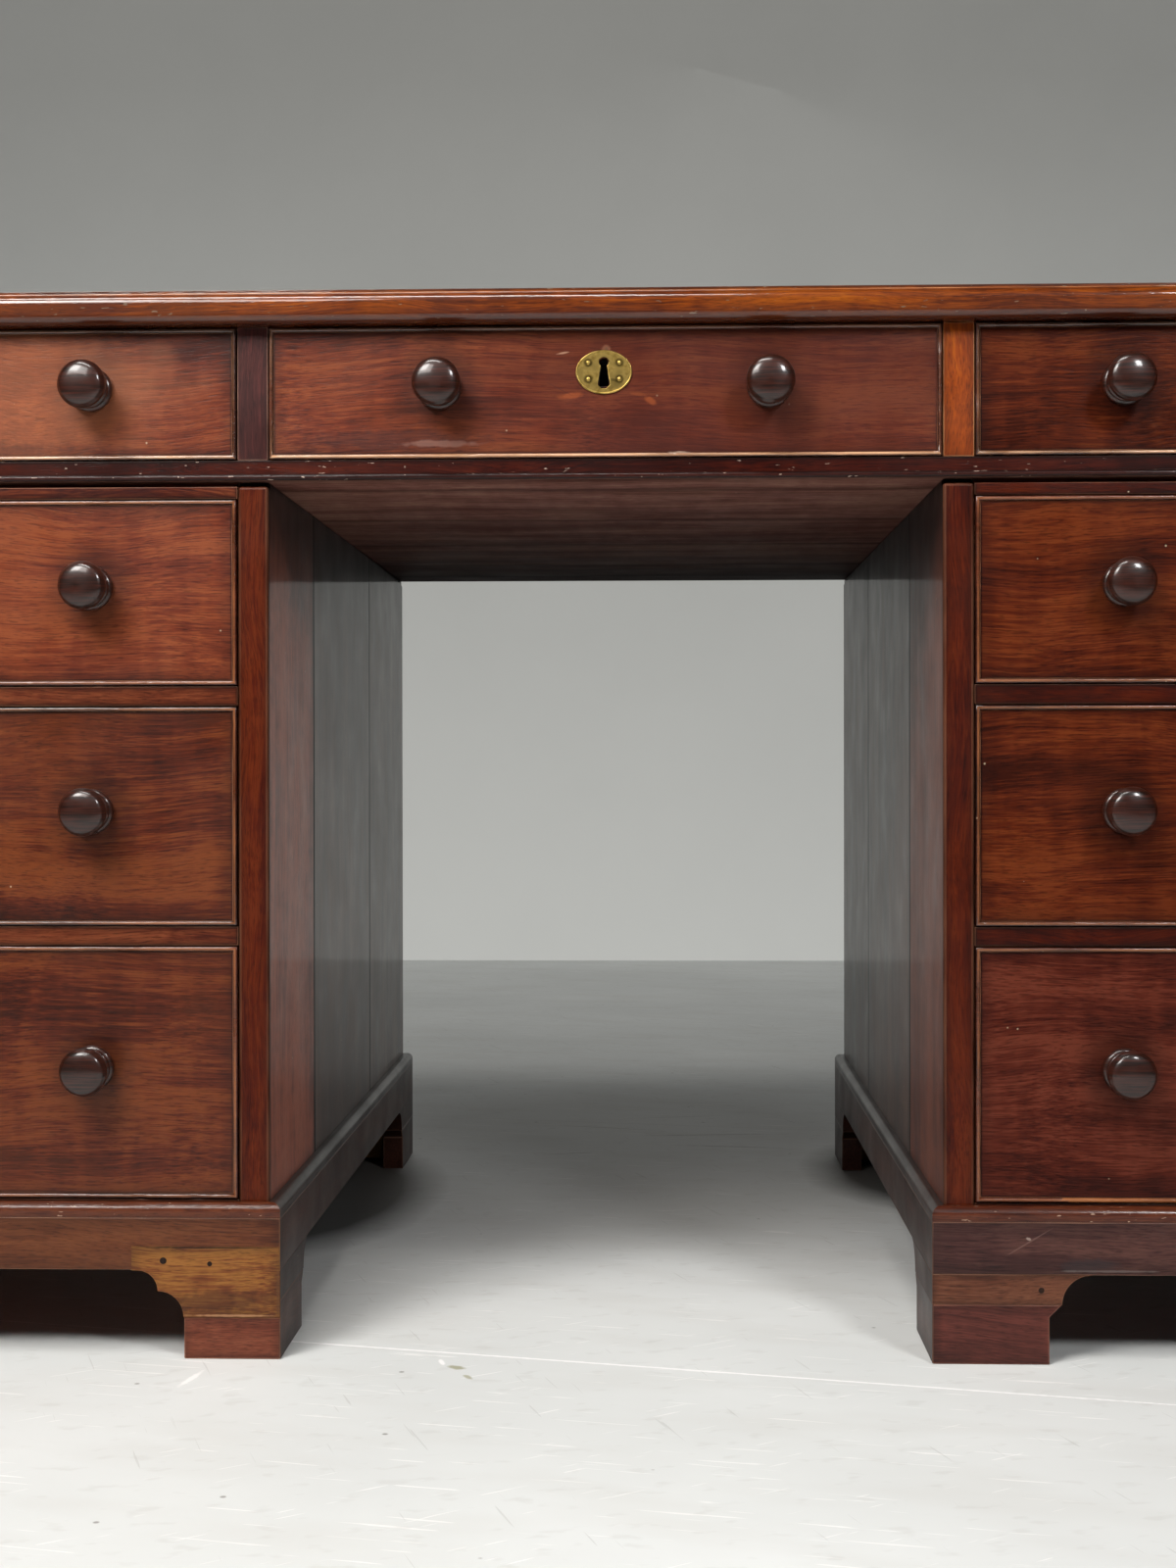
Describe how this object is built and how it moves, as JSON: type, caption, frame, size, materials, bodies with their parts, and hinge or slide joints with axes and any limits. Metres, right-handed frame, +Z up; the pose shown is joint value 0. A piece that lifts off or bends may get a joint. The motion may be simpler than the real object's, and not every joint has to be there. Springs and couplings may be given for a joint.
{
  "type": "partners desk",
  "caption": "Partners desk: leather-lined top over a frieze of drawers, on two drawer pedestals with bracket-foot plinths and a kneehole right through, worked from both sides.",
  "frame": {"origin": "on the floor, under the centre of the desk top", "axes": "+X along the desk to the right of someone sitting at the front, +Y from the front working side to the rear one, +Z up"},
  "size_m": [1.524, 0.908, 0.775],
  "materials": {
    "mahogany": "worn French polish",
    "drawer_oak": "bare, aged",
    "carcase_pine": "bare, darkened",
    "leather": "waxed writing leather",
    "brass": "old, lightly tarnished"
  },
  "bodies": {
    "carcase": {"top_board": "mahogany", "leather_inset": "leather", "frieze_ends": "mahogany", "frieze_dividers": "mahogany", "frieze_rails": "mahogany", "frieze_bottom_boards": "carcase_pine", "left_inner_side": "mahogany", "left_outer_side": "mahogany", "left_frame": "mahogany", "left_dustboards": "carcase_pine", "left_plinth": "mahogany", "right_inner_side": "mahogany", "right_outer_side": "mahogany", "right_frame": "mahogany", "right_dustboards": "carcase_pine", "right_plinth": "mahogany", "plinth_caps": "mahogany", "foot_tips": "mahogany", "glue_blocks": "carcase_pine", "drawer_stops": "carcase_pine"},
    "front_centre_frieze_drawer": {"front_centre_frieze_face": "mahogany", "front_centre_frieze_box": "drawer_oak", "front_centre_frieze_lock": "brass"},
    "front_centre_frieze_bolt": {"front_centre_frieze_lock_bolt": "brass"},
    "front_left_frieze_drawer": {"front_left_frieze_face": "mahogany", "front_left_frieze_box": "drawer_oak"},
    "front_left_top_drawer": {"front_left_top_face": "mahogany", "front_left_top_box": "drawer_oak"},
    "front_left_middle_drawer": {"front_left_middle_face": "mahogany", "front_left_middle_box": "drawer_oak"},
    "front_left_bottom_drawer": {"front_left_bottom_face": "mahogany", "front_left_bottom_box": "drawer_oak"},
    "front_right_frieze_drawer": {"front_right_frieze_face": "mahogany", "front_right_frieze_box": "drawer_oak"},
    "front_right_top_drawer": {"front_right_top_face": "mahogany", "front_right_top_box": "drawer_oak"},
    "front_right_middle_drawer": {"front_right_middle_face": "mahogany", "front_right_middle_box": "drawer_oak"},
    "front_right_bottom_drawer": {"front_right_bottom_face": "mahogany", "front_right_bottom_box": "drawer_oak"},
    "rear_centre_frieze_drawer": {"rear_centre_frieze_face": "mahogany", "rear_centre_frieze_box": "drawer_oak", "rear_centre_frieze_lock": "brass"},
    "rear_centre_frieze_bolt": {"rear_centre_frieze_lock_bolt": "brass"},
    "rear_left_frieze_drawer": {"rear_left_frieze_face": "mahogany", "rear_left_frieze_box": "drawer_oak"},
    "rear_left_top_drawer": {"rear_left_top_face": "mahogany", "rear_left_top_box": "drawer_oak"},
    "rear_left_middle_drawer": {"rear_left_middle_face": "mahogany", "rear_left_middle_box": "drawer_oak"},
    "rear_left_bottom_drawer": {"rear_left_bottom_face": "mahogany", "rear_left_bottom_box": "drawer_oak"},
    "rear_right_frieze_drawer": {"rear_right_frieze_face": "mahogany", "rear_right_frieze_box": "drawer_oak"},
    "rear_right_top_drawer": {"rear_right_top_face": "mahogany", "rear_right_top_box": "drawer_oak"},
    "rear_right_middle_drawer": {"rear_right_middle_face": "mahogany", "rear_right_middle_box": "drawer_oak"},
    "rear_right_bottom_drawer": {"rear_right_bottom_face": "mahogany", "rear_right_bottom_box": "drawer_oak"}
  },
  "joints": [
    {"name": "front_centre_frieze_drawer_slide", "type": "slide", "parent": "carcase", "child": "front_centre_frieze_drawer", "axis": [0, -1, 0], "range_m": [0, 0.3]},
    {"name": "front_centre_frieze_bolt_slide", "type": "slide", "parent": "front_centre_frieze_drawer", "child": "front_centre_frieze_bolt", "axis": [0, 0, 1], "range_m": [0, 0.007]},
    {"name": "front_left_frieze_drawer_slide", "type": "slide", "parent": "carcase", "child": "front_left_frieze_drawer", "axis": [0, -1, 0], "range_m": [0, 0.3]},
    {"name": "front_left_top_drawer_slide", "type": "slide", "parent": "carcase", "child": "front_left_top_drawer", "axis": [0, -1, 0], "range_m": [0, 0.3]},
    {"name": "front_left_middle_drawer_slide", "type": "slide", "parent": "carcase", "child": "front_left_middle_drawer", "axis": [0, -1, 0], "range_m": [0, 0.3]},
    {"name": "front_left_bottom_drawer_slide", "type": "slide", "parent": "carcase", "child": "front_left_bottom_drawer", "axis": [0, -1, 0], "range_m": [0, 0.3]},
    {"name": "front_right_frieze_drawer_slide", "type": "slide", "parent": "carcase", "child": "front_right_frieze_drawer", "axis": [0, -1, 0], "range_m": [0, 0.3]},
    {"name": "front_right_top_drawer_slide", "type": "slide", "parent": "carcase", "child": "front_right_top_drawer", "axis": [0, -1, 0], "range_m": [0, 0.3]},
    {"name": "front_right_middle_drawer_slide", "type": "slide", "parent": "carcase", "child": "front_right_middle_drawer", "axis": [0, -1, 0], "range_m": [0, 0.3]},
    {"name": "front_right_bottom_drawer_slide", "type": "slide", "parent": "carcase", "child": "front_right_bottom_drawer", "axis": [0, -1, 0], "range_m": [0, 0.3]},
    {"name": "rear_centre_frieze_drawer_slide", "type": "slide", "parent": "carcase", "child": "rear_centre_frieze_drawer", "axis": [0, 1, 0], "range_m": [0, 0.3]},
    {"name": "rear_centre_frieze_bolt_slide", "type": "slide", "parent": "rear_centre_frieze_drawer", "child": "rear_centre_frieze_bolt", "axis": [0, 0, 1], "range_m": [0, 0.007]},
    {"name": "rear_left_frieze_drawer_slide", "type": "slide", "parent": "carcase", "child": "rear_left_frieze_drawer", "axis": [0, 1, 0], "range_m": [0, 0.3]},
    {"name": "rear_left_top_drawer_slide", "type": "slide", "parent": "carcase", "child": "rear_left_top_drawer", "axis": [0, 1, 0], "range_m": [0, 0.3]},
    {"name": "rear_left_middle_drawer_slide", "type": "slide", "parent": "carcase", "child": "rear_left_middle_drawer", "axis": [0, 1, 0], "range_m": [0, 0.3]},
    {"name": "rear_left_bottom_drawer_slide", "type": "slide", "parent": "carcase", "child": "rear_left_bottom_drawer", "axis": [0, 1, 0], "range_m": [0, 0.3]},
    {"name": "rear_right_frieze_drawer_slide", "type": "slide", "parent": "carcase", "child": "rear_right_frieze_drawer", "axis": [0, 1, 0], "range_m": [0, 0.3]},
    {"name": "rear_right_top_drawer_slide", "type": "slide", "parent": "carcase", "child": "rear_right_top_drawer", "axis": [0, 1, 0], "range_m": [0, 0.3]},
    {"name": "rear_right_middle_drawer_slide", "type": "slide", "parent": "carcase", "child": "rear_right_middle_drawer", "axis": [0, 1, 0], "range_m": [0, 0.3]},
    {"name": "rear_right_bottom_drawer_slide", "type": "slide", "parent": "carcase", "child": "rear_right_bottom_drawer", "axis": [0, 1, 0], "range_m": [0, 0.3]}
  ]
}
